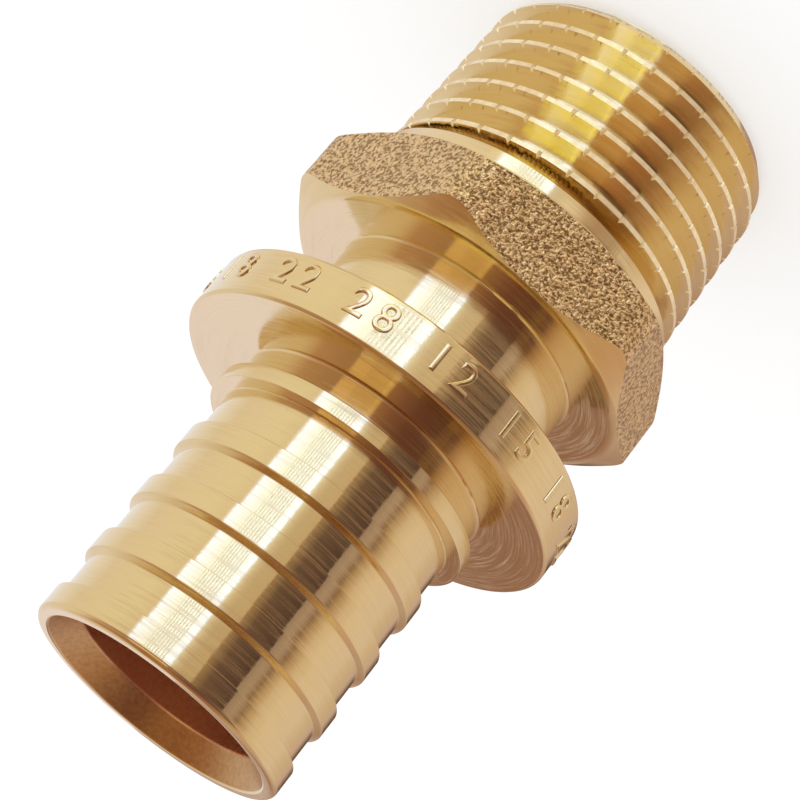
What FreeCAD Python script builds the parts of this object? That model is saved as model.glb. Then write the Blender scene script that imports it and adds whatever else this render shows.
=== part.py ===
import FreeCAD, Part
import os
import Sketcher

os.makedirs("parts", exist_ok=True)

# Pipe adapter, one piece of brass, hot forged and then turned.
# A tapered pipe thread screws into a fitting, the hexagon takes the spanner,
# the flange stops the sleeve that holds the pipe, and the pipe itself is
# pushed over the spigot, where the lands grip it.
# The axis is Z. The threaded end stands on z = 0 and the spigot points up.

# Driving dimensions in millimetres, from the threaded end up to the mouth.
SIZES = {
    # Tapered thread: the full diameter is the one at the gauge plane.
    "thread_length": 12.31,
    "thread_diameter": 20.955,
    "gauge_length": 8.2,
    "taper": 0.0625,
    "lead_in_length": 1.2,
    "lead_in_drop": 0.86,
    # Relief groove where the threading tool runs out.
    "relief_width": 0.74,
    "relief_depth": 1.2,
    # Turned ring under the hexagon, proud of the last crest.
    "ring_length": 0.95,
    "ring_step": 0.3,
    # Hexagon for the spanner, bevelled on both sides.
    "hex_height": 5.7,
    "across_flats": 23.4,
    "hex_corner": 2.0,
    "hex_face_inset": 0.35,
    "hex_face_bevel": 35,
    "hex_back_bevel": 30,
    "bevel_overrun": 1.0,
    # Neck between the hexagon and the flange.
    "neck_radius": 8.32,
    "neck_length": 5.85,
    "neck_fillet": 0.5,
    # Flange.
    "flange_radius": 13.2,
    "flange_thickness": 3.53,
    "flange_bevel": 0.2,
    "flange_fillet": 0.8,
    # Narrow slot between the flange and the collar.
    "slot_width": 1.82,
    # Collar at the foot of the spigot.
    "collar_radius": 9.12,
    "collar_length": 1.07,
    # Spigot: valleys between raised lands, and the head at the mouth.
    "first_valley": 2.94,
    "valley_depth": 0.4,
    "land_radius": 8.48,
    "land_length": 1.46,
    "land_slope": 0.25,
    "land_pitch": 4.083,
    "land_count": 3,
    "head_length": 1.79,
    "lip_bevel": 0.3,
    "lip_width": 0.84,
    # Bore, with a cone in the mouth and a small bevel at the thread.
    "bore_radius": 6.5,
    "mouth_depth": 1.65,
    "end_bevel": 0.5,
}

# Heights of the shoulders, each stacked on the one below.
RING_BASE = "(sizes.thread_length + sizes.relief_width)"
HEX_BASE = f"({RING_BASE} + sizes.ring_length)"
HEX_TOP = f"({HEX_BASE} + sizes.hex_height)"
FLANGE_BASE = f"({HEX_TOP} + sizes.neck_length)"
FLANGE_TOP = f"({FLANGE_BASE} + sizes.flange_thickness)"
COLLAR_BASE = f"({FLANGE_TOP} + sizes.slot_width)"
SPIGOT_BASE = f"({COLLAR_BASE} + sizes.collar_length)"
FIRST_LAND = f"({SPIGOT_BASE} + sizes.first_valley)"
HEAD_BASE = f"({FIRST_LAND} + sizes.land_count * sizes.land_pitch)"
MOUTH = f"({HEAD_BASE} + sizes.head_length)"

# Radii that follow from others.
LAST_CREST = (
    "(sizes.thread_diameter / 2"
    " + (sizes.thread_length - sizes.gauge_length) * sizes.taper / 2)"
)
FIRST_CREST = (
    "(sizes.thread_diameter / 2"
    " + (sizes.lead_in_length - sizes.gauge_length) * sizes.taper / 2)"
)
END_FACE = f"({FIRST_CREST} - sizes.lead_in_drop)"
RELIEF = f"({LAST_CREST} - sizes.relief_depth)"
RING = f"({LAST_CREST} + sizes.ring_step)"
HEX_FACE = "(sizes.across_flats / 2 - sizes.hex_face_inset)"
VALLEY = "(sizes.land_radius - sizes.valley_depth)"
MOUTH_EDGE = "(sizes.land_radius - sizes.lip_width)"

# Radius past the hexagon's sharp corners, where the bevel cuts end.
BEVEL_REACH = "(sizes.across_flats / 2 / cos(30) + sizes.bevel_overrun)"

DEGREES_FULL = 360
HEX_SIDES = 6
SAME_SPOT = 1e-4

doc = FreeCAD.newDocument("pipe_adapter")


def make_sheet():
    """Spreadsheet with one named cell for each driving dimension."""
    sheet = doc.addObject("Spreadsheet::Sheet", "sizes")
    for row, (name, value) in enumerate(SIZES.items(), start=1):
        sheet.set(f"A{row}", name)
        sheet.set(f"B{row}", str(value))
        sheet.setAlias(f"B{row}", name)
    doc.recompute()
    return sheet


def size(name):
    """Expression for one cell of the sheet."""
    return f"sizes.{name}"


def value_of(body, expression):
    """Number that an expression has now."""
    return float(body.evalExpression(expression))


def origin_plane(body, role):
    """One of the body's own origin planes."""
    for feature in body.Origin.OriginFeatures:
        if feature.Role == role:
            return feature
    raise ValueError(f"no origin feature {role}")


def half_section(body, name, corners):
    """Closed half section in the plane through the axis.

    Each corner is a radius and a height, given as expressions. None means
    that the corner lies on the axis, or at the height of the end face.
    """
    sketch = body.newObject("Sketcher::SketchObject", name)
    sketch.AttachmentSupport = (origin_plane(body, "XZ_Plane"), [""])
    sketch.MapMode = "FlatFace"
    points = []
    for radius, height in corners:
        across = value_of(body, radius) if radius else 0.0
        up = value_of(body, height) if height else 0.0
        points.append(FreeCAD.Vector(across, up, 0))
    count = len(points)
    for index in range(count):
        start = points[index]
        end = points[(index + 1) % count]
        sketch.addGeometry(Part.LineSegment(start, end), False)
    for index in range(count):
        following = (index + 1) % count
        sketch.addConstraint(Sketcher.Constraint("Coincident", index, 2, following, 1))
    for index, (radius, height) in enumerate(corners):
        bind_corner(sketch, index, "DistanceX", -2, radius, points[index].x)
        bind_corner(sketch, index, "DistanceY", -1, height, points[index].y)
    return sketch


def bind_corner(sketch, index, kind, axis, expression, value):
    """Tie one coordinate of a corner to its expression, or to the axis."""
    if expression is None:
        sketch.addConstraint(Sketcher.Constraint("PointOnObject", index, 1, axis))
        return
    number = sketch.addConstraint(Sketcher.Constraint(kind, -1, 1, index, 1, value))
    sketch.setExpression(f"Constraints[{number}]", expression)


def turn(body, kind, name, corners):
    """Revolve a half section about the axis, to add or to cut."""
    sketch = half_section(body, f"{name}_section", corners)
    feature = body.newObject(f"PartDesign::{kind}", name)
    feature.Profile = sketch
    feature.ReferenceAxis = (sketch, ["V_Axis"])
    feature.Angle = DEGREES_FULL
    doc.recompute()
    return feature


def add_hexagon(body):
    """Forged hexagon with rounded corners, flats towards -Y and +Y."""
    prism = body.newObject("PartDesign::AdditivePrism", "hexagon")
    prism.Polygon = HEX_SIDES
    prism.setExpression("Circumradius", "sizes.across_flats / 2 / cos(30)")
    prism.setExpression("Height", size("hex_height"))
    prism.AttachmentSupport = (origin_plane(body, "XY_Plane"), [""])
    prism.MapMode = "FlatFace"
    prism.setExpression("AttachmentOffset.Base.z", HEX_BASE)
    doc.recompute()
    upright = []
    for index, edge in enumerate(prism.Shape.Edges, start=1):
        along = edge.tangentAt(edge.FirstParameter)
        if abs(abs(along.z) - 1) < SAME_SPOT:
            upright.append(f"Edge{index}")
    corners = body.newObject("PartDesign::Fillet", "hexagon_corners")
    corners.Base = (prism, upright)
    corners.setExpression("Radius", size("hex_corner"))
    doc.recompute()


def bevel_hexagon(body):
    """Turned bevels that take the hexagon's corners off on both sides."""
    face_drop = f"({BEVEL_REACH} - {HEX_FACE}) * tan(sizes.hex_face_bevel)"
    turn(body, "Groove", "face_bevel", [
        (HEX_FACE, HEX_TOP),
        (BEVEL_REACH, HEX_TOP),
        (BEVEL_REACH, f"{HEX_TOP} - {face_drop}"),
    ])
    back_rise = f"({BEVEL_REACH} - {RING}) * tan(sizes.hex_back_bevel)"
    turn(body, "Groove", "back_bevel", [
        (RING, HEX_BASE),
        (BEVEL_REACH, HEX_BASE),
        (BEVEL_REACH, f"{HEX_BASE} + {back_rise}"),
    ])


def add_turned_body(body):
    """Everything that is round: thread, ring, neck, flange, collar, spigot."""
    inside_hexagon = f"{HEX_BASE} + sizes.hex_height / 2"
    turn(body, "Revolution", "turned_body", [
        (None, None),
        (END_FACE, None),
        (FIRST_CREST, size("lead_in_length")),
        (LAST_CREST, size("thread_length")),
        (RELIEF, size("thread_length")),
        (RELIEF, RING_BASE),
        (RING, RING_BASE),
        (RING, inside_hexagon),
        (size("neck_radius"), inside_hexagon),
        (size("neck_radius"), FLANGE_BASE),
        (size("flange_radius"), FLANGE_BASE),
        (size("flange_radius"), FLANGE_TOP),
        (size("neck_radius"), FLANGE_TOP),
        (size("neck_radius"), COLLAR_BASE),
        (size("collar_radius"), COLLAR_BASE),
        (size("collar_radius"), SPIGOT_BASE),
        (VALLEY, SPIGOT_BASE),
        (VALLEY, HEAD_BASE),
        (size("land_radius"), HEAD_BASE),
        (size("land_radius"), MOUTH),
        (None, MOUTH),
    ])


def add_lands(body):
    """Raised lands that grip the pipe: square below, sloped to the mouth."""
    land_top = f"{FIRST_LAND} + sizes.land_length"
    foot = f"{land_top} + sizes.land_slope"
    land = turn(body, "Revolution", "land", [
        (size("bore_radius"), FIRST_LAND),
        (size("land_radius"), FIRST_LAND),
        (size("land_radius"), land_top),
        (VALLEY, foot),
        (size("bore_radius"), foot),
    ])
    lands = body.newObject("PartDesign::LinearPattern", "lands")
    lands.Originals = [land]
    lands.Direction = (origin_plane(body, "Z_Axis"), [""])
    lands.setExpression("Length", "sizes.land_pitch * (sizes.land_count - 1)")
    lands.setExpression("Occurrences", size("land_count"))
    body.Tip = lands
    doc.recompute()


def cut_bore(body):
    """Through bore with a cone in the mouth and a bevel at the thread."""
    turn(body, "Groove", "bore", [
        (None, None),
        ("sizes.bore_radius + sizes.end_bevel", None),
        (size("bore_radius"), size("end_bevel")),
        (size("bore_radius"), f"{MOUTH} - sizes.mouth_depth"),
        (MOUTH_EDGE, MOUTH),
        (None, MOUTH),
    ])


def ring_edges(body, places):
    """Names of the circular edges at the given radii and heights."""
    names = []
    for radius, height in places:
        across = value_of(body, radius)
        up = value_of(body, height)
        for index, edge in enumerate(body.Tip.Shape.Edges, start=1):
            curve = edge.Curve
            if not isinstance(curve, Part.Circle):
                continue
            if abs(curve.Radius - across) > SAME_SPOT:
                continue
            if abs(curve.Center.z - up) < SAME_SPOT:
                names.append(f"Edge{index}")
    if len(names) < len(places):
        raise ValueError(f"an edge to be dressed is missing near {places}")
    return names


def dress(body, kind, name, measure, expression, places):
    """Fillet or bevel the circular edges at the given places."""
    base = body.Tip
    names = ring_edges(body, places)
    feature = body.newObject(f"PartDesign::{kind}", name)
    feature.Base = (base, names)
    feature.setExpression(measure, expression)
    doc.recompute()


def round_shoulders(body):
    """Tool radii beside the neck, broken edges on the flange and the lip."""
    neck = size("neck_radius")
    flange = size("flange_radius")
    dress(body, "Fillet", "neck_root", "Radius", size("neck_fillet"), [
        (neck, HEX_TOP),
    ])
    dress(body, "Fillet", "flange_root", "Radius", size("flange_fillet"), [
        (neck, FLANGE_TOP),
    ])
    dress(body, "Chamfer", "flange_edges", "Size", size("flange_bevel"), [
        (flange, FLANGE_BASE),
        (flange, FLANGE_TOP),
    ])
    dress(body, "Chamfer", "lip", "Size", size("lip_bevel"), [
        (size("land_radius"), MOUTH),
    ])


def adapter_body():
    """The whole adapter, one piece."""
    body = doc.addObject("PartDesign::Body", "adapter_body")
    body.Label = "adapter_body"
    add_hexagon(body)
    bevel_hexagon(body)
    add_turned_body(body)
    add_lands(body)
    cut_bore(body)
    round_shoulders(body)
    body.Placement = FreeCAD.Placement()
    return body


def check_model(pieces):
    """Stop before anything is written if a feature or a solid failed."""
    doc.recompute()
    for item in doc.Objects:
        if "Invalid" in item.State or "Error" in item.State:
            raise RuntimeError(f"{item.Name} failed: {item.State}")
    for piece in pieces:
        shape = piece.Shape
        if shape.isNull() or not shape.isValid() or len(shape.Solids) != 1:
            raise RuntimeError(f"{piece.Label} is not one valid solid")


make_sheet()
parts = [adapter_body()]
check_model(parts)
for part in parts:
    part.Shape.exportStep(f"parts/{part.Label}.step")
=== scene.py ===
import math

import bpy
from mathutils import Euler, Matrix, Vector


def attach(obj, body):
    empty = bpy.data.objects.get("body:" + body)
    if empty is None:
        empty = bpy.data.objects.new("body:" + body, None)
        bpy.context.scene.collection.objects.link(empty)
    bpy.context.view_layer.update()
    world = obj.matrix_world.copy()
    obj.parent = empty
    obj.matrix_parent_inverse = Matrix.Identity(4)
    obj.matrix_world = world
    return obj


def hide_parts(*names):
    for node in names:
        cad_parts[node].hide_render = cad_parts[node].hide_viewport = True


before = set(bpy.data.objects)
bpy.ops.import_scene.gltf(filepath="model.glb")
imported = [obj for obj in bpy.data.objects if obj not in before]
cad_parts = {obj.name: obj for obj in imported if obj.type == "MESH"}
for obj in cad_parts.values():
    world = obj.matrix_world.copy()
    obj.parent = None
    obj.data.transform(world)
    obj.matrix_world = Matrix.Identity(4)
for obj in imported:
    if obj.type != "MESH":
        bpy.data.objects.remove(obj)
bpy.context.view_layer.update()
bpy.ops.object.select_all(action="DESELECT")


# Camera
# The photograph looks down on the adapter from the spigot's side, with the camera turned over,
# so that the mouth comes to the lower left and the thread to the upper right.
MM = 0.001
camera_place = Vector((19.54, -130.74, 78.085)) * MM
camera_bearing = -81.5
camera_turn = [math.radians(angle) for angle in (-62.785, 35.684, -154.813)]
nearest_seen = 0.001
farthest_seen = 20.0
camera_data = bpy.data.cameras.new("photo_camera")
camera_data.lens = 107.057
camera_data.sensor_width = 36.0
camera_data.clip_start = nearest_seen
camera_data.clip_end = farthest_seen
camera = bpy.data.objects.new("photo_camera", camera_data)
camera.location = camera_place
camera.rotation_euler = Euler(camera_turn)
bpy.context.collection.objects.link(camera)
bpy.context.scene.camera = camera
bpy.context.scene.view_settings.view_transform = "Standard"


# Studio
# The metal mirrors a tent of warm cloth round the table. A bright slatted panel hangs at its front left, its
# right side has a dark opening, and a brown cover lies overhead. Plain even light falls on everything else.
# A cloth is one row of the tent: bearings in degrees from the camera's side, and the colour at each.
table_cloth = [
    (-180, (0.88, 0.78, 0.64)),
]
low_cloth = [
    (-180, (0.86, 0.78, 0.76)),
    (-110, (0.84, 0.72, 0.58)),
    (-90, (0.59, 0.33, 0.12)),
    (-60.5, (0.61, 0.33, 0.11)),
    (-59.5, (1.12, 1.10, 0.28)),
    (-30, (1.32, 1.30, 0.32)),
    (-13, (1.42, 1.50, 0.60)),
    (-12, (0.68, 0.42, 0.20)),
    (12, (0.69, 0.43, 0.22)),
    (22, (0.53, 0.27, 0.16)),
    (46, (0.35, 0.16, 0.10)),
    (60, (0.45, 0.22, 0.14)),
    (75, (0.62, 0.40, 0.25)),
    (90, (0.80, 0.64, 0.48)),
    (134, (0.84, 0.72, 0.66)),
    (140, (0.45, 0.27, 0.22)),
]
edge_cloth = [
    (-180, (0.66, 0.52, 0.44)),
    (-144, (0.70, 0.56, 0.47)),
    (-128, (0.88, 0.81, 0.90)),
    (-112, (0.92, 0.85, 0.87)),
    (-80, (0.92, 0.84, 0.75)),
    (-64, (0.92, 0.83, 0.71)),
    (-49.4, (0.93, 0.84, 0.76)),
    (-48.7, (1.36, 1.55, 2.40)),
    (-41, (1.32, 1.52, 2.20)),
    (-34, (1.33, 1.52, 2.00)),
    (-16, (1.33, 1.52, 2.10)),
    (-9.9, (1.36, 1.58, 2.40)),
    (-9.1, (0.82, 0.80, 0.80)),
    (-4, (0.79, 0.71, 0.61)),
    (4, (0.90, 0.82, 0.69)),
    (12, (0.86, 0.72, 0.59)),
    (20, (0.61, 0.45, 0.32)),
    (28, (0.51, 0.35, 0.24)),
    (44, (0.57, 0.43, 0.31)),
    (52, (0.76, 0.62, 0.50)),
    (68, (0.80, 0.66, 0.52)),
    (88, (0.87, 0.74, 0.66)),
    (104, (0.86, 0.74, 0.68)),
    (120, (0.68, 0.56, 0.50)),
    (136, (0.56, 0.43, 0.39)),
    (152, (0.62, 0.45, 0.42)),
    (164, (0.44, 0.30, 0.26)),
]
level_cloth = [
    (-180, (0.90, 0.93, 1.02)),
    (-150, (0.91, 0.89, 0.95)),
    (-128, (0.89, 0.82, 0.78)),
    (-112, (0.84, 0.73, 0.60)),
    (-80, (0.89, 0.79, 0.62)),
    (-64, (0.90, 0.81, 0.605)),
    (-49.4, (0.86, 0.745, 0.565)),
    (-48.7, (1.36, 1.58, 2.40)),
    (-41, (1.32, 1.50, 2.00)),
    (-36, (1.28, 1.40, 1.60)),
    (-34, (1.33, 1.52, 1.80)),
    (-16, (1.36, 1.58, 2.05)),
    (-13, (1.36, 1.60, 2.40)),
    (-9.9, (1.36, 1.60, 2.40)),
    (-9.1, (0.95, 0.96, 0.82)),
    (-5, (0.77, 0.63, 0.48)),
    (0, (0.65, 0.53, 0.355)),
    (10.2, (0.67, 0.50, 0.33)),
    (11.2, (0.38, 0.25, 0.14)),
    (20, (0.16, 0.10, 0.075)),
    (42.5, (0.10, 0.06, 0.05)),
    (43.5, (0.38, 0.28, 0.27)),
    (50, (0.47, 0.36, 0.32)),
    (53, (0.41, 0.29, 0.24)),
    (57, (0.30, 0.185, 0.115)),
    (64, (0.55, 0.38, 0.23)),
    (72, (0.73, 0.575, 0.415)),
    (84, (0.81, 0.66, 0.52)),
    (112, (0.78, 0.65, 0.56)),
    (128, (0.70, 0.545, 0.41)),
    (146, (0.62, 0.455, 0.39)),
    (160, (0.16, 0.09, 0.05)),
]
gap_cloth = [
    (-180, (0.90, 0.82, 0.85)),
    (-144, (0.84, 0.75, 0.69)),
    (-104, (0.80, 0.70, 0.55)),
    (-84, (0.71, 0.54, 0.36)),
    (-72, (0.54, 0.35, 0.22)),
    (-60, (0.43, 0.24, 0.16)),
    (-24, (0.46, 0.26, 0.15)),
    (-12, (0.42, 0.23, 0.12)),
    (0, (0.27, 0.13, 0.09)),
    (24, (0.16, 0.07, 0.05)),
    (48, (0.34, 0.20, 0.14)),
    (60, (0.62, 0.45, 0.31)),
    (74, (0.76, 0.60, 0.44)),
    (112, (0.79, 0.66, 0.55)),
    (132, (0.70, 0.55, 0.44)),
    (150, (0.52, 0.37, 0.32)),
    (160, (0.44, 0.28, 0.21)),
    (180, (0.60, 0.48, 0.45)),
]
high_cloth = [
    (-180, (0.92, 0.85, 0.96)),
    (-165, (0.89, 0.81, 0.86)),
    (-144, (0.84, 0.75, 0.69)),
    (-104, (0.82, 0.72, 0.62)),
    (-94, (0.76, 0.60, 0.50)),
    (-84, (0.60, 0.39, 0.30)),
    (-49.5, (0.48, 0.32, 0.23)),
    (-48.5, (0.95, 0.70, 0.40)),
    (-12, (0.98, 0.72, 0.38)),
    (-10, (0.40, 0.22, 0.15)),
    (3, (0.27, 0.14, 0.12)),
    (18, (0.18, 0.08, 0.08)),
    (46, (0.13, 0.06, 0.07)),
    (58, (0.20, 0.11, 0.10)),
    (64, (0.46, 0.28, 0.20)),
    (74, (0.70, 0.52, 0.42)),
    (88, (0.80, 0.64, 0.57)),
    (112, (0.79, 0.66, 0.62)),
    (132, (0.69, 0.55, 0.47)),
    (150, (0.53, 0.38, 0.31)),
    (162, (0.42, 0.25, 0.18)),
    (178, (0.31, 0.165, 0.12)),
    (180, (0.70, 0.60, 0.60)),
]
cover_cloth = [
    (-180, (0.82, 0.62, 0.60)),
    (-150, (0.78, 0.66, 0.52)),
    (-125, (0.70, 0.56, 0.40)),
    (-108, (0.55, 0.36, 0.22)),
    (-96, (0.48, 0.27, 0.15)),
    (-72, (0.44, 0.22, 0.11)),
    (-60, (0.36, 0.17, 0.08)),
    (-24, (0.40, 0.20, 0.09)),
    (-12, (0.34, 0.18, 0.10)),
    (0, (0.25, 0.12, 0.08)),
    (12, (0.18, 0.08, 0.06)),
    (36, (0.22, 0.11, 0.09)),
    (48, (0.32, 0.19, 0.13)),
    (60, (0.37, 0.22, 0.14)),
    (72, (0.52, 0.32, 0.19)),
    (84, (0.60, 0.40, 0.26)),
    (110, (0.61, 0.37, 0.21)),
    (132, (0.68, 0.48, 0.38)),
    (144, (0.50, 0.32, 0.22)),
    (160, (0.62, 0.44, 0.40)),
    (180, (0.80, 0.60, 0.60)),
]
overhead_cloth = [
    (-180, (0.38, 0.19, 0.09)),
]
# From the table upwards: each row, and the two heights in degrees between which it follows the row below.
rows_upwards = [
    (low_cloth, -55, -49),
    (edge_cloth, -37, -32),
    (level_cloth, -26.5, -24.8),
    (gap_cloth, -12, -5),
    (high_cloth, 12, 18),
    (cover_cloth, 26, 42),
    (overhead_cloth, 60, 72),
]
brightest_panel = 2.4
# Slats hang in the bright panel and beside the dark opening. Spacing, middles and widths are in degrees.
slat_spacing = 2.5
slat_edges = (0.2, 0.7)
slat_shade = 0.6
slat_colour = (0.42, 0.28, 0.12)
slatted_middles = (-25.0, 47.5)
slatted_half_widths = (9.5, 4.5)


def fill_sockets(node, sockets):
    """Sets each socket to its value, or links it where it is given another node's output."""
    for socket, content in sockets.items():
        if isinstance(content, bpy.types.NodeSocket):
            node.id_data.links.new(content, node.inputs[socket])
        else:
            node.inputs[socket].default_value = content


def add_node(tree, kind, sockets=None, **settings):
    """New shader node with its settings made and its sockets filled."""
    node = tree.nodes.new("ShaderNode" + kind)
    for setting, value in settings.items():
        setattr(node, setting, value)
    fill_sockets(node, sockets or {})
    return node


def share_of_turn(angle):
    """Place on the tent from 0 to 1, for a bearing from -180 to 180 degrees."""
    return (angle + 180) / 360


def cloth_paint(colour):
    """Colour as a share of the brightest panel, with full cover."""
    return (*[part / brightest_panel for part in colour], 1)


def hang_cloth(cloth):
    """Colour of one row of the tent at each bearing."""
    row = add_node(tent, "ValToRGB", {"Fac": place_on_tent})
    stops = row.color_ramp.elements
    while len(stops) > 1:
        stops.remove(stops[-1])
    stops[0].position = 0.0
    stops[0].color = cloth_paint(cloth[0][1])
    for angle, colour in cloth[1:]:
        stop = stops.new(share_of_turn(angle))
        stop.color = cloth_paint(colour)
    return row.outputs["Color"]


def join_rows(lower, upper, from_angle, to_angle):
    """Lower row of cloth that turns into the upper one between two heights."""
    height = add_node(tent, "MapRange", {
        "Value": direction_parts.outputs["Z"],
        "From Min": math.sin(math.radians(from_angle)),
        "From Max": math.sin(math.radians(to_angle)),
    })
    seam = add_node(
        tent, "Mix", {"Factor": height.outputs["Result"], "A": lower, "B": upper}, data_type="RGBA")
    return seam.outputs["Result"]


world = bpy.data.worlds.new("studio_tent")
bpy.context.scene.world = world
world.use_nodes = True
world.cycles.sampling_method = "NONE"
tent = world.node_tree
tent.nodes.clear()
direction = add_node(tent, "TexCoord")
facing = add_node(
    tent, "VectorRotate", {"Vector": direction.outputs["Generated"], "Angle": math.radians(-camera_bearing)},
    rotation_type="Z_AXIS")
direction_parts = add_node(tent, "SeparateXYZ", {"Vector": facing.outputs["Vector"]})
bearing = add_node(
    tent, "Math", {0: direction_parts.outputs["Y"], 1: direction_parts.outputs["X"]}, operation="ARCTAN2")
round_tent = add_node(tent, "MapRange", {
    "Value": bearing.outputs["Value"],
    "From Min": math.pi,
    "From Max": -math.pi,
})
place_on_tent = round_tent.outputs["Result"]
tent_colour = hang_cloth(table_cloth)
for next_cloth, seam_bottom, seam_top in rows_upwards:
    tent_colour = join_rows(tent_colour, hang_cloth(next_cloth), seam_bottom, seam_top)

slat_wave = add_node(
    tent, "Math", {0: place_on_tent, 1: math.tau * 360 / slat_spacing}, operation="MULTIPLY")
slat_sides = add_node(tent, "Math", {0: slat_wave.outputs["Value"]}, operation="SINE")
slats = add_node(tent, "MapRange", {
    "Value": slat_sides.outputs["Value"],
    "From Min": slat_edges[0],
    "From Max": slat_edges[1],
    "To Max": slat_shade,
})
slatted_parts = [
    add_node(tent, "Math", {0: place_on_tent, 1: share_of_turn(middle), 2: half / 360}, operation="COMPARE")
    for middle, half in zip(slatted_middles, slatted_half_widths)
]
slatted = add_node(
    tent, "Math", {0: slatted_parts[0].outputs["Value"], 1: slatted_parts[1].outputs["Value"]},
    operation="ADD")
slat_shadow = add_node(
    tent, "Math", {0: slats.outputs["Result"], 1: slatted.outputs["Value"]}, operation="MULTIPLY")
slatted_tent = add_node(
    tent, "Mix", {"Factor": slat_shadow.outputs["Value"], "A": tent_colour, "B": cloth_paint(slat_colour)},
    data_type="RGBA")
mirrored_tent = add_node(tent, "Background", {
    "Color": slatted_tent.outputs["Result"],
    "Strength": brightest_panel,
})
even_white = add_node(tent, "Background", {"Color": (1, 1, 1, 1), "Strength": 1.0})
ray = add_node(tent, "LightPath")
metal_or_not = add_node(tent, "MixShader", {
    "Fac": ray.outputs["Is Glossy Ray"],
    1: even_white.outputs["Background"],
    2: mirrored_tent.outputs["Background"],
})
seen_or_not = add_node(tent, "MixShader", {
    "Fac": ray.outputs["Is Camera Ray"],
    1: metal_or_not.outputs["Shader"],
    2: even_white.outputs["Background"],
})
add_node(tent, "OutputWorld", {"Surface": seen_or_not.outputs["Shader"]})


# Floor
# A plain pale table under the threaded end. It keeps the adapter's soft shadow, and the metal sees the tent
# through it.
floor_size = 6.0
bpy.ops.mesh.primitive_plane_add(size=floor_size, location=(0, 0, 0))
floor = bpy.context.active_object
floor.name = "floor"
floor.visible_glossy = False
pale_table = bpy.data.materials.new("pale_table")
pale_table.use_nodes = True
fill_sockets(pale_table.node_tree.nodes["Principled BSDF"], {
    "Base Color": (0.55, 0.55, 0.55, 1),
    "Roughness": 1.0,
    "Specular IOR Level": 0.0,
    "Emission Color": (1, 1, 1, 1),
    "Emission Strength": 0.5,
})
floor.data.materials.append(pale_table)


# Turned body
# The adapter is one piece of brass, forged and then turned on a lathe from end to end.
# Its half section is drawn corner by corner, its corners are rounded, and it is spun round the axis.
# Sizes are in millimetres from the threaded end upwards, each shoulder stacked on the one below.
gauge_diameter = 20.955
gauge_plane = 8.2
taper = 1 / 32
thread_top = 12.31
lead_in = 1.2
lead_in_drop = 0.86
relief_width = 0.74
relief_depth = 1.2
ring_length = 0.95
ring_step = 0.3
hexagon_height = 5.7
hexagon_blank = 13.9
hexagon_face_edge = 11.5
face_bevel = math.radians(35)
back_bevel = math.radians(30)
neck = 8.32
neck_length = 5.85
flange = 13.08
flange_thickness = 3.53
flange_chamfer = 0.16
slot = 8.32
slot_width = 1.82
collar = 9.12
collar_length = 1.07
land = 8.48
valley_depth = 0.4
first_valley = 2.94
land_length = 1.46
land_slope = 0.25
land_pitch = 4.083
land_count = 3
head_length = 1.79
lip_width = 0.84
mouth_depth = 1.65
bore = 6.5
end_bevel = 0.5

relief_top = thread_top + relief_width
hexagon_base = relief_top + ring_length
hexagon_top = hexagon_base + hexagon_height
flange_base = hexagon_top + neck_length
flange_top = flange_base + flange_thickness
collar_base = flange_top + slot_width
collar_top = collar_base + collar_length
first_land = collar_top + first_valley
head_base = first_land + land_count * land_pitch
mouth_top = head_base + head_length
mouth_bottom = mouth_top - mouth_depth
valley = land - valley_depth
mouth_edge = land - lip_width


def crest_at(height):
    """Radius of the tapered thread over its crests, at a height above the threaded end."""
    return gauge_diameter / 2 + (height - gauge_plane) * taper


ring = crest_at(thread_top) + ring_step
relief = crest_at(thread_top) - relief_depth
end_edge = crest_at(lead_in) - lead_in_drop

keen = 0.05
crisp = 0.06
sharp = 0.08
mouth_rounding = 0.1
eased = 0.12
soft = 0.2
face_rounding = 0.3
lip_rounding = 0.36
neck_fillet = 0.5
large_rounding = 0.3
steps_in_large = 7
steps_in_small = 3
cuts_round_body = 192
merge_gap = 0.0005

body_corners = [
    (bore, end_bevel, sharp),
    (bore, mouth_bottom, eased),
    (mouth_edge, mouth_top, mouth_rounding),
    (land, mouth_top, lip_rounding),
    (land, head_base, keen),
    (valley, head_base, keen),
]
for lands_below in reversed(range(land_count)):
    land_base = first_land + lands_below * land_pitch
    body_corners += [
        (valley, land_base + land_length + land_slope, keen),
        (land, land_base + land_length, sharp),
        (land, land_base, keen),
        (valley, land_base, keen),
    ]
body_corners += [
    (valley, collar_top, eased),
    (collar, collar_top, crisp),
    (collar, collar_base, crisp),
    (slot, collar_base, sharp),
    (slot, flange_top, soft),
    (flange - flange_chamfer, flange_top, keen),
    (flange, flange_top - flange_chamfer, keen),
    (flange, flange_base, soft),
    (neck, flange_base, neck_fillet),
    (neck, hexagon_top, soft),
    (hexagon_face_edge, hexagon_top, face_rounding),
    (hexagon_blank, hexagon_top - (hexagon_blank - hexagon_face_edge) * math.tan(face_bevel), keen),
    (hexagon_blank, hexagon_base + (hexagon_blank - ring) * math.tan(back_bevel), keen),
    (ring, hexagon_base, keen),
    (ring, relief_top, sharp),
    (relief, relief_top, sharp),
    (relief, thread_top, sharp),
    (crest_at(thread_top), thread_top, keen),
    (crest_at(lead_in), lead_in, keen),
    (end_edge, 0.0, sharp),
    (bore + end_bevel, 0.0, sharp),
]


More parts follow.
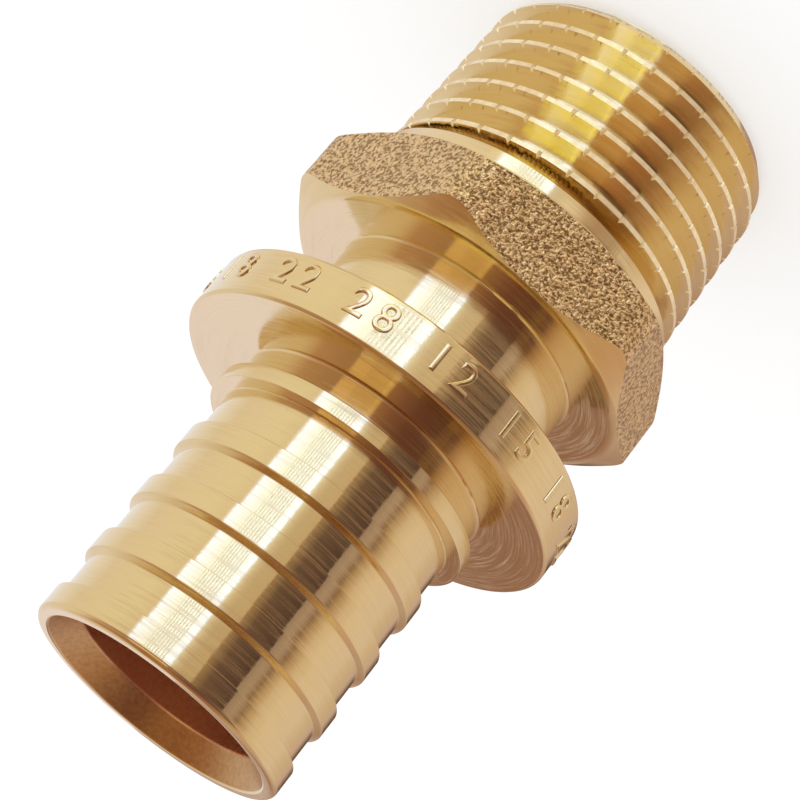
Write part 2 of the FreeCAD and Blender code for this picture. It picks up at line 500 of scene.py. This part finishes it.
def draw_half_section(name, corners):
    """Closed outline in the plane through the axis, drawn from corner to corner."""
    bpy.ops.mesh.primitive_plane_add(size=MM, location=(0, 0, 0))
    section = bpy.context.active_object
    section.name = name
    bpy.ops.object.mode_set(mode="EDIT")
    bpy.ops.mesh.select_mode(type="VERT")
    bpy.ops.mesh.select_all(action="SELECT")
    bpy.ops.mesh.merge(type="CENTER")
    here = corners[0]
    bpy.ops.transform.translate(value=(here[0] * MM, 0, here[1] * MM))
    for radius, height in [*corners[1:], corners[0]]:
        step = ((radius - here[0]) * MM, 0, (height - here[1]) * MM)
        bpy.ops.mesh.extrude_region_move(TRANSFORM_OT_translate={"value": step})
        here = (radius, height)
    bpy.ops.mesh.select_all(action="SELECT")
    bpy.ops.mesh.remove_doubles(threshold=merge_gap * MM)
    bpy.ops.object.mode_set(mode="OBJECT")
    return section


def round_corners(section, corners, size_of_rounding, segments):
    """Rounds those corners of a half section that lie at the given radii and heights."""
    bpy.ops.object.mode_set(mode="EDIT")
    bpy.ops.mesh.select_all(action="DESELECT")
    bpy.ops.object.mode_set(mode="OBJECT")
    for point in section.data.vertices:
        for radius, height in corners:
            same_radius = abs(point.co.x - radius * MM) < merge_gap * MM
            same_height = abs(point.co.z - height * MM) < merge_gap * MM
            point.select = point.select or (same_radius and same_height)
    bpy.ops.object.mode_set(mode="EDIT")
    bpy.ops.mesh.bevel(offset=size_of_rounding * MM, segments=segments, affect="VERTICES", profile=0.5)
    bpy.ops.object.mode_set(mode="OBJECT")


def spin_round_axis():
    """Spins the active half section into a closed body."""
    bpy.ops.object.mode_set(mode="EDIT")
    bpy.ops.mesh.select_all(action="SELECT")
    bpy.ops.mesh.spin(steps=cuts_round_body, angle=math.tau, center=(0, 0, 0), axis=(0, 0, 1))
    bpy.ops.mesh.select_all(action="SELECT")
    bpy.ops.mesh.remove_doubles(threshold=merge_gap * MM)
    bpy.ops.mesh.normals_make_consistent(inside=False)
    bpy.ops.object.mode_set(mode="OBJECT")


def machine(piece, tool, operation):
    """Cuts a tool out of a piece, or joins it on, and uses the tool up."""
    bpy.ops.object.select_all(action="DESELECT")
    bpy.context.view_layer.objects.active = piece
    piece.select_set(True)
    cut = piece.modifiers.new("cut", "BOOLEAN")
    cut.operation = operation
    cut.solver = "EXACT"
    cut.material_mode = "TRANSFER"
    cut.object = tool
    bpy.ops.object.modifier_apply(modifier=cut.name)
    bpy.data.objects.remove(tool)


def add_tones(tree, amount, low_place, low_tone, high_place, high_tone):
    """Colour that goes from one tone to another as the amount rises between two places."""
    tones = add_node(tree, "ValToRGB", {"Fac": amount})
    low_stop, high_stop = tones.color_ramp.elements
    low_stop.position = low_place
    low_stop.color = (*low_tone, 1)
    high_stop.position = high_place
    high_stop.color = (*high_tone, 1)
    return tones.outputs["Color"]


adapter = draw_half_section("adapter", [corner[:2] for corner in body_corners])
for rounding in sorted({corner[2] for corner in body_corners}):
    alike = [corner[:2] for corner in body_corners if corner[2] == rounding]
    steps_in_rounding = steps_in_large if rounding >= large_rounding else steps_in_small
    round_corners(adapter, alike, rounding, steps_in_rounding)
spin_round_axis()

# Bright turned brass: fine grooves run round the axis, and the tool's waviness lies over them.
grooves_per_mm = 8
grooves_round_axis = 2.5
wave_scale = 5.0
groove_height = 0.0008
wave_height = 0.0009
turned_brass = bpy.data.materials.new("turned_brass")
turned_brass.use_nodes = True
brass = turned_brass.node_tree
place_on_piece = add_node(brass, "TexCoord")
place_parts = add_node(brass, "SeparateXYZ", {"Vector": place_on_piece.outputs["Object"]})
level_place = add_node(brass, "CombineXYZ", {"X": place_parts.outputs["X"], "Y": place_parts.outputs["Y"]})
distance_out = add_node(brass, "VectorMath", {0: level_place.outputs["Vector"]}, operation="LENGTH")
way_out = add_node(brass, "VectorMath", {0: level_place.outputs["Vector"]}, operation="NORMALIZE")
along_section = add_node(
    brass, "Math", {0: distance_out.outputs["Value"], 1: place_parts.outputs["Z"]}, operation="ADD")
groove_place = add_node(
    brass, "Math", {0: along_section.outputs["Value"], 1: grooves_per_mm / MM}, operation="MULTIPLY")
groove_length = add_node(
    brass, "VectorMath", {0: way_out.outputs["Vector"], "Scale": grooves_round_axis}, operation="SCALE")
groove_parts = add_node(brass, "SeparateXYZ", {"Vector": groove_length.outputs["Vector"]})
groove_vector = add_node(brass, "CombineXYZ", {
    "X": groove_parts.outputs["X"],
    "Y": groove_parts.outputs["Y"],
    "Z": groove_place.outputs["Value"],
})
turning_grooves = add_node(brass, "TexNoise", {
    "Vector": groove_vector.outputs["Vector"],
    "Scale": 1.0,
    "Detail": 3.0,
    "Roughness": 0.6,
})
tool_marks = add_node(brass, "MapRange", {
    "Value": turning_grooves.outputs["Fac"],
    "From Min": 0.42,
    "From Max": 0.72,
    "To Min": 0.06,
    "To Max": 0.22,
})
brass_tones = add_tones(
    brass, turning_grooves.outputs["Fac"], 0.3, (0.80, 0.67, 0.40), 0.7, (0.86, 0.73, 0.46))
waviness = add_node(brass, "TexNoise", {
    "Vector": place_on_piece.outputs["Object"],
    "Scale": wave_scale / MM,
    "Detail": 1.0,
})
groove_depth = add_node(brass, "Bump", {
    "Height": turning_grooves.outputs["Fac"],
    "Strength": 1.0,
    "Distance": groove_height * MM,
})
wave_depth = add_node(brass, "Bump", {
    "Height": waviness.outputs["Fac"],
    "Strength": 1.0,
    "Distance": wave_height * MM,
    "Normal": groove_depth.outputs["Normal"],
})
round_the_axis = add_node(brass, "Tangent", direction_type="RADIAL", axis="Z")
fill_sockets(brass.nodes["Principled BSDF"], {
    "Base Color": brass_tones,
    "Metallic": 1.0,
    "Roughness": tool_marks.outputs["Result"],
    "Anisotropic": 1.0,
    "Anisotropic Rotation": 0.25,
    "Tangent": round_the_axis.outputs["Tangent"],
    "Normal": wave_depth.outputs["Normal"],
})
adapter.data.materials.append(turned_brass)


# Mouth and bore
# The cone in the mouth is reamed and the bore is drilled, so both are duller than the outside. The cone is a
# darker, browner brass. The bore is a lighter, redder copper-brown: painted light, for the light bounced
# round inside the bore.
# Each has its own brass with fine scratches: its deep tone, its light tone and how dull it is.
bore_brasses_and_painted_bounce = {
    "reamed_brass": ((0.52, 0.34, 0.18), (0.64, 0.43, 0.23), 0.30),
    "drilled_brass_painted_bounce": ((0.85, 0.50, 0.33), (0.93, 0.61, 0.42), 0.38),
}
scratch_scale = 4.0
dullness_spread = 0.06
cone_margin = 0.05
bore_margin = 0.1
for brass_name, (deep_tone, light_tone, dullness) in bore_brasses_and_painted_bounce.items():
    dull_brass = bpy.data.materials.new(brass_name)
    dull_brass.use_nodes = True
    dull = dull_brass.node_tree
    place_in_bore = add_node(dull, "TexCoord")
    fine_scratches = add_node(dull, "TexNoise", {
        "Vector": place_in_bore.outputs["Object"],
        "Scale": scratch_scale / MM,
        "Detail": 3.0,
    })
    scratch_gloss = add_node(dull, "MapRange", {
        "Value": fine_scratches.outputs["Fac"],
        "To Min": dullness - dullness_spread,
        "To Max": dullness + dullness_spread,
    })
    fill_sockets(dull.nodes["Principled BSDF"], {
        "Base Color": add_tones(dull, fine_scratches.outputs["Fac"], 0.35, deep_tone, 0.65, light_tone),
        "Metallic": 1.0,
        "Roughness": scratch_gloss.outputs["Result"],
    })
    adapter.data.materials.append(dull_brass)
cone_slot = adapter.data.materials.find("reamed_brass")
bore_slot = adapter.data.materials.find("drilled_brass_painted_bounce")
# Faces in the mouth's cone take its darker brass; faces in the bore take the painted-light copper-brown.
for face in adapter.data.polygons:
    out = math.hypot(face.center.x, face.center.y) / MM
    up = face.center.z / MM
    if up > mouth_bottom and out < mouth_edge - cone_margin:
        face.material_index = cone_slot
    elif up > end_bevel and out < bore + bore_margin:
        face.material_index = bore_slot


# Rim numbers
# A row of plain raised numbers runs three times round the flange's rim, forged with the piece.
# Each figure is written with sloped edges, set on the rim, and joined to the body.
number_row = "12 15 18 22 28 "
number_rows = 3
number_size = 2.6
number_line = flange_base + 1.55
number_height = 0.1
number_sunk = 0.28
number_slope = 0.09
number_smoothness = 6
first_number_turn = camera_bearing - 1.0
number_middle = flange + (number_height - number_sunk) / 2
number_places = number_rows * len(number_row)
numbers = []
for place in range(number_places):
    number_shown = number_row[place % len(number_row)]
    if number_shown == " ":
        continue
    turn = math.radians(first_number_turn - place * 360 / number_places)
    on_rim = Vector((number_middle * math.cos(turn), number_middle * math.sin(turn), number_line))
    bpy.ops.object.text_add(
        location=on_rim * MM, rotation=(math.radians(-90), 0, turn - math.radians(90)))
    number = bpy.context.active_object
    number.data.body = number_shown
    number.data.size = number_size * MM
    number.data.align_x = "CENTER"
    number.data.align_y = "CENTER"
    number.data.resolution_u = number_smoothness
    number.data.offset = -number_slope / 2 * MM
    number.data.bevel_depth = number_slope * MM
    number.data.bevel_resolution = 1
    number.data.extrude = ((number_height + number_sunk) / 2 - number_slope) * MM
    bpy.ops.object.convert(target="MESH")
    numbers.append(bpy.context.active_object)
bpy.ops.object.select_all(action="DESELECT")
for number in numbers:
    number.select_set(True)
bpy.context.view_layer.objects.active = numbers[0]
bpy.ops.object.join()
rim_numbers = bpy.context.active_object
rim_numbers.name = "rim_numbers"
bpy.ops.object.transform_apply(location=True, rotation=True, scale=True)
bpy.ops.object.mode_set(mode="EDIT")
bpy.ops.mesh.select_all(action="SELECT")
bpy.ops.mesh.remove_doubles(threshold=merge_gap * MM)
bpy.ops.mesh.normals_make_consistent(inside=False)
bpy.ops.object.mode_set(mode="OBJECT")
rim_numbers.data.materials.append(turned_brass)
machine(adapter, rim_numbers, "UNION")


# Hexagon
# The spanner hexagon is left as forged, with rounded corners and a blasted skin on its flats.
# A prism is drawn, its corners are rounded, and all that lies outside it is cut off the turned blank.
across_flats = 23.4
hexagon_sides = 6
hexagon_corner = 2.06
steps_in_corner = 10
prism_overrun = 1.5
cut_overrun = 1.0
cut_radius = 18.0
cut_sides = 12
half_side = math.pi / hexagon_sides
hexagon_middle = (hexagon_base + hexagon_top) / 2
bpy.ops.mesh.primitive_cylinder_add(
    vertices=hexagon_sides, radius=across_flats / 2 / math.cos(half_side) * MM,
    depth=(hexagon_height + 2 * prism_overrun) * MM, location=(0, 0, hexagon_middle * MM),
    rotation=(0, 0, half_side))
hexagon = bpy.context.active_object
hexagon.name = "hexagon"
bpy.ops.object.transform_apply(location=True, rotation=True, scale=True)
bpy.ops.object.mode_set(mode="EDIT")
bpy.ops.mesh.select_all(action="DESELECT")
bpy.ops.object.mode_set(mode="OBJECT")
for edge in hexagon.data.edges:
    ends = [hexagon.data.vertices[end].co for end in edge.vertices]
    edge.select = abs(ends[0].z - ends[1].z) > hexagon_height * MM
bpy.ops.object.mode_set(mode="EDIT")
bpy.ops.mesh.select_mode(type="EDGE")
bpy.ops.mesh.bevel(
    offset=hexagon_corner * math.tan(half_side) * MM, segments=steps_in_corner, affect="EDGES", profile=0.5)
bpy.ops.object.mode_set(mode="OBJECT")

# Blasted brass: pits of about a quarter of a millimetre, painted brown inside them as painted shade and
# painted bright on the tops between them as painted highlight.
pits_per_mm = 4.6
pit_height = 0.19
blasted_brass_painted_shading = bpy.data.materials.new("blasted_brass_painted_shading")
blasted_brass_painted_shading.use_nodes = True
blasted = blasted_brass_painted_shading.node_tree
place_on_hexagon = add_node(blasted, "TexCoord")
shot_pits = add_node(blasted, "TexNoise", {
    "Vector": place_on_hexagon.outputs["Object"],
    "Scale": pits_per_mm / MM,
    "Detail": 1.0,
    "Distortion": 0.6,
})
pit_depth = add_node(blasted, "Bump", {
    "Height": shot_pits.outputs["Fac"],
    "Strength": 1.0,
    "Distance": pit_height * MM,
})
fill_sockets(blasted.nodes["Principled BSDF"], {
    # Painted shade in the pits and painted highlight on the tops, from the same noise as the pits' bump.
    "Base Color": add_tones(
        blasted, shot_pits.outputs["Fac"], 0.4, (0.36, 0.24, 0.11), 0.55, (0.94, 0.73, 0.43)),
    "Metallic": 1.0,
    "Roughness": 0.3,
    "Normal": pit_depth.outputs["Normal"],
})
hexagon.data.materials.append(blasted_brass_painted_shading)

bpy.ops.mesh.primitive_cylinder_add(
    vertices=cut_sides, radius=cut_radius * MM,
    depth=(hexagon_height + 2 * cut_overrun) * MM, location=(0, 0, hexagon_middle * MM))
spanner_cut = bpy.context.active_object
bpy.ops.object.transform_apply(location=True, rotation=True, scale=True)
spanner_cut.data.materials.append(turned_brass)
machine(spanner_cut, hexagon, "DIFFERENCE")
machine(adapter, spanner_cut, "DIFFERENCE")


# Crest notches
# Thirty-two fine notches are pressed along the crests of the thread, to hold the sealing yarn.
# One three-sided bar is leaned to the thread's taper and repeated round the axis. Its walls, and the
# thread's crests further on, are painted pale cream: a painted highlight.
notch_count = 32
notch_sides = 3
notch_depth = 0.26
notch_size = 0.5
notch_overrun = 1.2
notch_turn = math.radians(camera_bearing + 3.6)
bpy.ops.mesh.primitive_cylinder_add(
    vertices=notch_sides, radius=notch_size * MM, depth=(thread_top + notch_overrun) * MM,
    location=(0, 0, 0), rotation=(0, 0, math.radians(90)))
notches = bpy.context.active_object
notches.name = "notches"
bpy.ops.object.transform_apply(location=False, rotation=True, scale=False)
notches.rotation_euler = (0, math.atan(taper), 0)
notches.location = ((crest_at(thread_top / 2) - notch_depth + notch_size) * MM, 0, thread_top / 2 * MM)
bpy.ops.object.transform_apply(location=True, rotation=True, scale=True)
bpy.ops.object.mode_set(mode="EDIT")
bpy.ops.mesh.select_all(action="SELECT")
bpy.ops.transform.rotate(value=-notch_turn, orient_axis="Z", center_override=(0, 0, 0))
bpy.ops.mesh.spin(
    steps=notch_count - 1, dupli=True, angle=math.tau * (notch_count - 1) / notch_count,
    center=(0, 0, 0), axis=(0, 0, 1))
bpy.ops.mesh.select_all(action="SELECT")
bpy.ops.mesh.normals_make_consistent(inside=False)
bpy.ops.object.mode_set(mode="OBJECT")

# Pale cream, partly metallic brass with a little mottle: painted highlight for the notch walls and the
# crests.
crest_mottle_scale = 2.5
crest_painted_highlight = bpy.data.materials.new("crest_painted_highlight")
crest_painted_highlight.use_nodes = True
crest = crest_painted_highlight.node_tree
place_on_crest = add_node(crest, "TexCoord")
crest_mottle = add_node(crest, "TexNoise", {
    "Vector": place_on_crest.outputs["Object"],
    "Scale": crest_mottle_scale / MM,
})
fill_sockets(crest.nodes["Principled BSDF"], {
    "Base Color": add_tones(
        crest, crest_mottle.outputs["Fac"], 0.35, (0.88, 0.72, 0.44), 0.65, (0.97, 0.87, 0.60)),
    "Metallic": 0.6,
    "Roughness": 0.25,
})
notches.data.materials.append(crest_painted_highlight)
machine(adapter, notches, "DIFFERENCE")


# Pipe thread
# A tapered right-hand thread is cut into the blank with a pointed tool, up to the relief groove under the
# ring. The tool's outline is wound up the axis, cut off level in the groove, and spread to the taper.
pitch = 1.814
thread_depth = 1.162
root_width = 0.28
flank = math.radians(27.5)
tool_proud = 0.3
groove_at_start = -1.447
turns = 8
tool_stop = (thread_top + relief_top) / 2
crest_at_end = crest_at(0)
root_at_end = crest_at_end - thread_depth
tool_outer = crest_at_end + tool_proud
half_opening = root_width / 2 + (tool_outer - root_at_end) * math.tan(flank)
thread_tool = draw_half_section("thread_tool", [
    (root_at_end, groove_at_start - root_width / 2),
    (tool_outer, groove_at_start - half_opening),
    (tool_outer, groove_at_start + half_opening),
    (root_at_end, groove_at_start + root_width / 2),
])
wind = thread_tool.modifiers.new("wind", "SCREW")
wind.axis = "Z"
wind.angle = math.tau
wind.screw_offset = pitch * MM
wind.iterations = turns
wind.steps = cuts_round_body
wind.render_steps = cuts_round_body
wind.use_normal_calculate = True
bpy.ops.object.modifier_apply(modifier=wind.name)
bpy.ops.object.mode_set(mode="EDIT")
bpy.ops.mesh.select_all(action="DESELECT")
bpy.ops.mesh.select_mode(type="EDGE")
bpy.ops.mesh.select_non_manifold(extend=False)
bpy.ops.mesh.fill_holes(sides=4)
bpy.ops.mesh.select_all(action="SELECT")
bpy.ops.mesh.bisect(
    plane_co=(0, 0, tool_stop * MM), plane_no=(0, 0, 1), use_fill=True, clear_outer=True)
bpy.ops.mesh.select_all(action="SELECT")
bpy.ops.mesh.normals_make_consistent(inside=False)
bpy.ops.object.mode_set(mode="OBJECT")
for point in thread_tool.data.vertices:
    spread = 1 + point.co.z / MM * taper / crest_at_end
    point.co.x *= spread
    point.co.y *= spread
thread_tool.data.materials.append(turned_brass)
machine(adapter, thread_tool, "DIFFERENCE")

# The crests take the same pale brass: a painted highlight along them.
crest_margin = 0.05
straight_out = 0.95
crest_slot = adapter.data.materials.find(crest_painted_highlight.name)
for face in adapter.data.polygons:
    middle = face.center / MM
    out = math.hypot(middle.x, middle.y)
    faces_out = (face.normal.x * middle.x + face.normal.y * middle.y) / out > straight_out
    on_crest = abs(out - crest_at(middle.z)) < crest_margin
    if lead_in < middle.z < thread_top and faces_out and on_crest:
        face.material_index = crest_slot


# Shading
# Flat and turned faces keep their own shading up to the fine roundings between them. That goes by face
# area, and in metres the areas are too small for it, so the adapter is made larger for it and put back.
smooth_up_to = math.radians(30)
bpy.ops.object.select_all(action="DESELECT")
bpy.context.view_layer.objects.active = adapter
adapter.select_set(True)
bpy.ops.object.shade_smooth_by_angle(angle=smooth_up_to)
adapter.scale = (1 / MM, 1 / MM, 1 / MM)
bpy.ops.object.transform_apply(location=False, rotation=False, scale=True)
true_faces = adapter.modifiers.new("true_faces", "WEIGHTED_NORMAL")
true_faces.mode = "FACE_AREA"
true_faces.keep_sharp = True
bpy.ops.object.modifier_apply(modifier=true_faces.name)
adapter.scale = (MM, MM, MM)
bpy.ops.object.transform_apply(location=False, rotation=False, scale=True)
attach(adapter, "root")
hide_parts("adapter_body")
